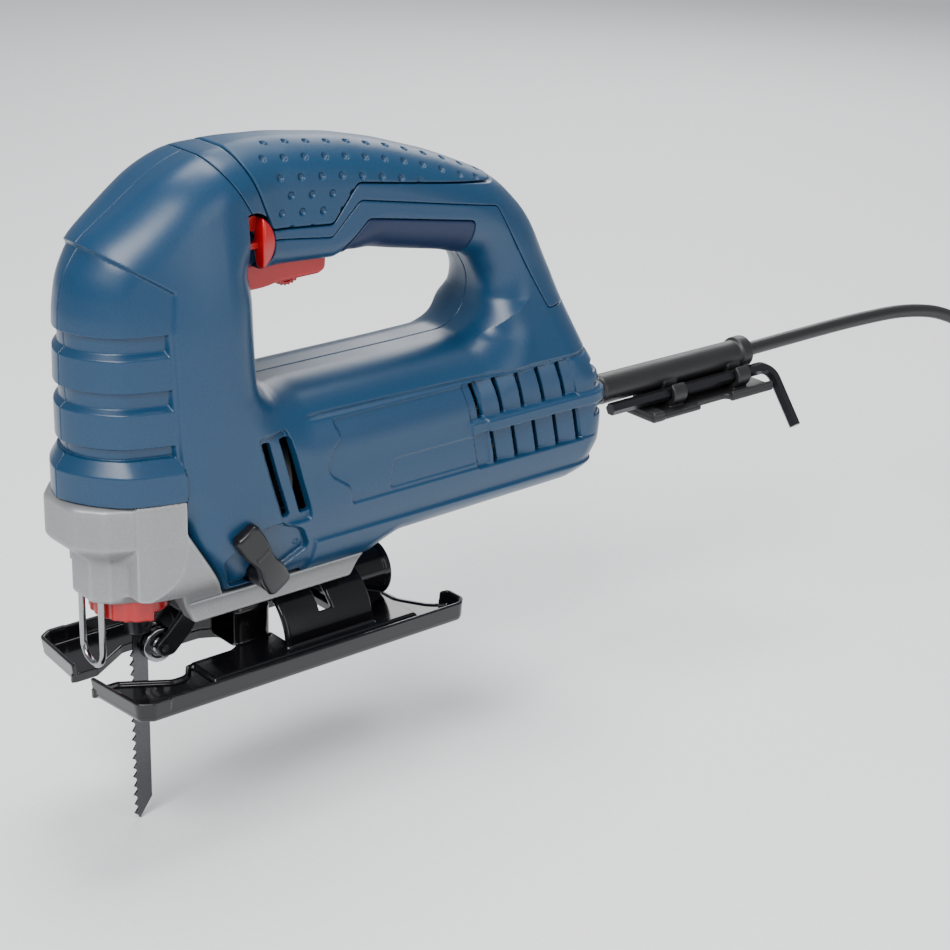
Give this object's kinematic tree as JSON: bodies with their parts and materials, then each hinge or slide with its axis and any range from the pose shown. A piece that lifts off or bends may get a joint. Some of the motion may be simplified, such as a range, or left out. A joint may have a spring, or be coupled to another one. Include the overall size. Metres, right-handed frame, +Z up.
{
  "type": "corded jigsaw",
  "caption": "Corded jigsaw with D handle, cast gear housing, tilting open-front base plate, guide roller and fitted saw blade.",
  "frame": {"origin": "blade centreline where it crosses the plane of the base plate's sole", "axes": "+X to the rear, along the motor and the cord; +Z up, away from the sole; -Y is the tool's left side, with the lock-on button and orbital lever"},
  "size_m": [0.7146, 0.1152, 0.2624],
  "materials": {
    "blue_shell": "satin",
    "blue_grip": "matte",
    "dark_grip": "matte",
    "cast_grey": "satin",
    "red_plastic": "gloss",
    "black_enamel": "gloss",
    "black_plastic": "satin",
    "cord_rubber": "matte",
    "bright_steel": "ground",
    "black_steel": "burnished",
    "blade_steel": "coated",
    "bronze": "sintered",
    "alloy": "cast",
    "lamination": "stacked",
    "copper": "enamelled",
    "carbon": "matte"
  },
  "bodies": {
    "housing": {"housing_left": "blue_shell", "housing_right": "blue_shell", "handle_cover": "blue_shell", "soft_grip": "blue_grip", "finger_grip": "dark_grip", "gear_housing": "cast_grey", "fork_pivot_pin": "bright_steel", "wire_guard": "bright_steel", "bearing_bracket": "alloy", "gear_axle": "bright_steel", "rod_bushes": "bronze", "field_core": "lamination", "field_coils": "copper", "motor_bearings": "bright_steel", "brush_holders": "bronze", "carbon_brushes": "carbon", "brush_springs": "bright_steel", "air_baffle": "black_plastic", "switch_body": "black_plastic", "speed_module": "black_plastic", "cord_clamp": "black_plastic", "cord_boot": "cord_rubber", "trigger_pin": "bright_steel", "foot_clamp_plate": "black_steel", "foot_clamp_screw": "black_steel", "housing_screws": "bright_steel", "mains_cord": "cord_rubber", "cord_coil": "cord_rubber", "mains_plug": "cord_rubber"},
    "armature": {"armature_shaft": "bright_steel", "armature_core": "lamination", "armature_windings": "copper", "commutator": "copper", "cooling_fan": "black_plastic"},
    "drive_gear": {"drive_gear": "bright_steel", "crank_pin": "bright_steel"},
    "stroke": {"stroke_rod": "bright_steel", "rod_yoke": "alloy", "blade_clamp": "black_steel"},
    "blade": {"saw_blade": "blade_steel"},
    "collar": {"release_collar": "red_plastic"},
    "fork": {"roller_fork": "black_steel", "roller_pin": "bright_steel"},
    "roller": {"guide_roller": "black_steel"},
    "lever": {"orbital_lever": "black_plastic"},
    "trigger": {"trigger": "red_plastic", "wheel_pin": "bright_steel"},
    "speed_wheel": {"speed_wheel": "red_plastic"},
    "lock_button": {"lock_button": "red_plastic"},
    "foot": {"base_plate": "black_enamel", "foot_saddle": "black_enamel", "dust_port": "black_plastic"},
    "key": {"hex_key": "black_steel"}
  },
  "joints": [
    {"name": "armature_spin", "type": "hinge", "parent": "housing", "child": "armature", "pos_m": [0.1, 0, 0.072], "axis": [1, 0, 0], "continuous": true},
    {"name": "drive_gear_spin", "type": "hinge", "parent": "housing", "child": "drive_gear", "pos_m": [0.0195, 0, 0.1014], "axis": [1, 0, 0], "continuous": true},
    {"name": "stroke_slide", "type": "slide", "parent": "housing", "child": "stroke", "axis": [0, 0, 1], "range_m": [0, 0.02]},
    {"name": "blade_pull", "type": "slide", "parent": "stroke", "child": "blade", "axis": [0, 0, -1], "range_m": [0, 0.03]},
    {"name": "collar_turn", "type": "hinge", "parent": "housing", "child": "collar", "pos_m": [0, 0, 0.035], "axis": [0, 0, 1], "range_deg": [0, 18], "stiffness_Nm_per_rad": 0.3},
    {"name": "fork_swing", "type": "hinge", "parent": "housing", "child": "fork", "pos_m": [0.024, 0, 0.0305], "axis": [0, -1, 0], "range_deg": [0, 4.5]},
    {"name": "roller_spin", "type": "hinge", "parent": "fork", "child": "roller", "pos_m": [0.0076, 0, 0.0105], "axis": [0, 1, 0], "continuous": true},
    {"name": "lever_turn", "type": "hinge", "parent": "housing", "child": "lever", "pos_m": [0.0385, -0.03, 0.042], "axis": [0, 1, 0], "range_deg": [0, 63]},
    {"name": "trigger_pull", "type": "hinge", "parent": "housing", "child": "trigger", "pos_m": [0.0445, 0, 0.164], "axis": [0, -1, 0], "range_deg": [0, 8], "stiffness_Nm_per_rad": 1.5, "springref_deg": -8.59},
    {"name": "wheel_turn", "type": "hinge", "parent": "trigger", "child": "speed_wheel", "pos_m": [0.067, 0, 0.15], "axis": [0, 1, 0], "range_deg": [-150, 150]},
    {"name": "lock_press", "type": "slide", "parent": "housing", "child": "lock_button", "axis": [0, 1, 0], "range_m": [0, 0.0035], "stiffness_N_per_m": 400, "springref_m": -0.002},
    {"name": "foot_bevel", "type": "hinge", "parent": "housing", "child": "foot", "pos_m": [0.05, 0, 0.0025], "axis": [1, 0, 0], "range_deg": [-45, 45]},
    {"name": "key_pull", "type": "slide", "parent": "housing", "child": "key", "axis": [1, 0, 0], "range_m": [0, 0.075]}
  ],
  "couplings": [
    {"joint": "drive_gear_spin", "follows": "armature_spin", "ratio": -0.16667}
  ]
}
